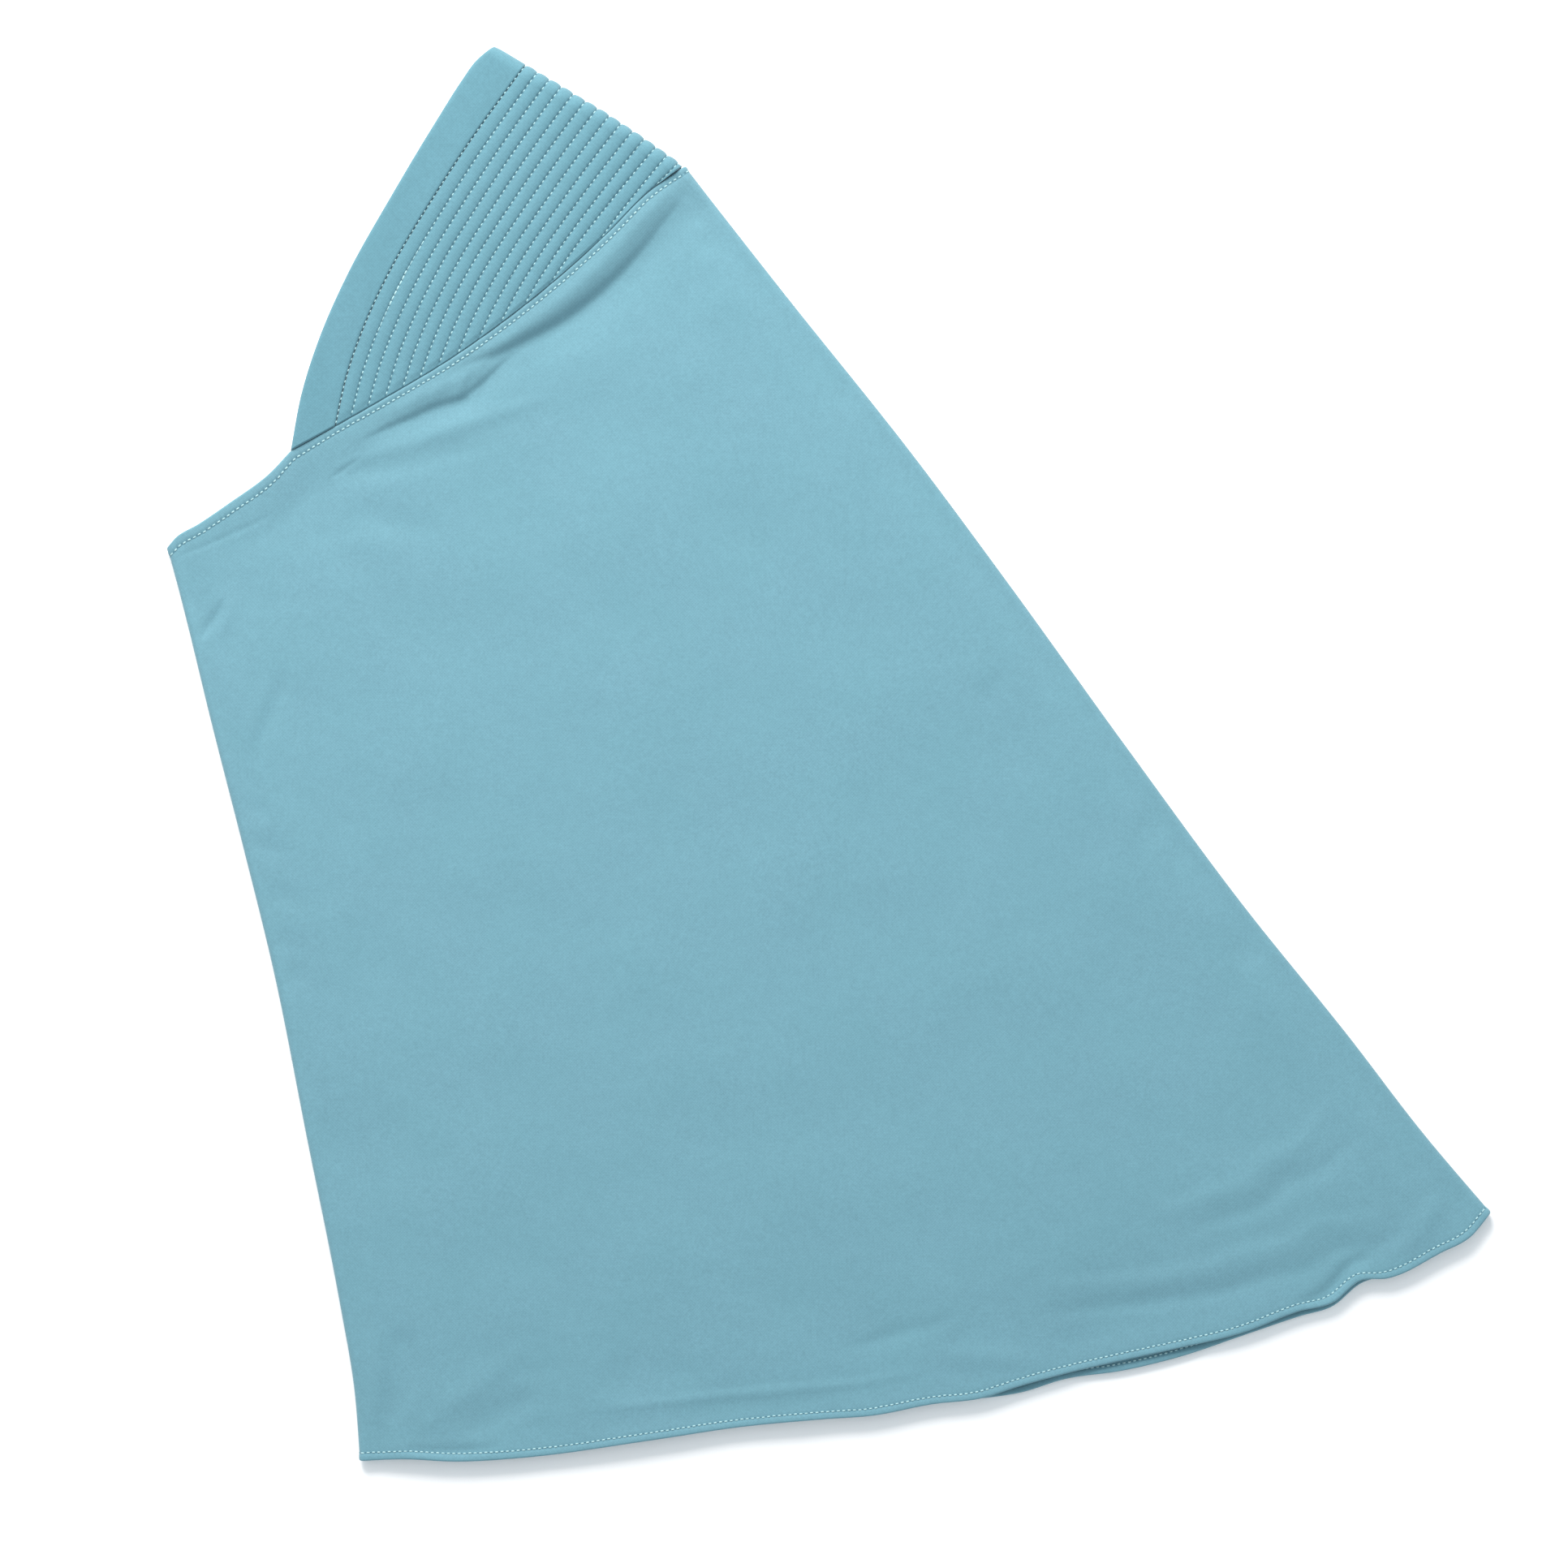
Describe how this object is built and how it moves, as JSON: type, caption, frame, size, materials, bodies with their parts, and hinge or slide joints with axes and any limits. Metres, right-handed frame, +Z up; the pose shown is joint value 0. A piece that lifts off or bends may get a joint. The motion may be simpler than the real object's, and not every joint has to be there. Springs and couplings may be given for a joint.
{
  "type": "khimar veil",
  "caption": "Slip-on jersey khimar veil with a quilted padded visor, lying flat and folded in half along its back and front.",
  "frame": {"origin": "middle of the veil's plan, on the surface it lies on", "axes": "+Z up from the surface, +Y from the hem towards the crown, +X from the front fold towards the back fold"},
  "size_m": [0.6534, 0.6974, 0.0128],
  "materials": {
    "jersey": "matt fine jersey, light dusty blue",
    "jersey_hem": "matt fine jersey, doubled and topstitched",
    "quilted_jersey": "matt fine jersey over padding, in stitched ribs"
  },
  "bodies": {
    "root": {"cape": "jersey", "neck_hem": "jersey_hem", "bottom_hem": "jersey_hem", "quilted_peak": "quilted_jersey", "face_band": "quilted_jersey"}
  },
  "joints": []
}
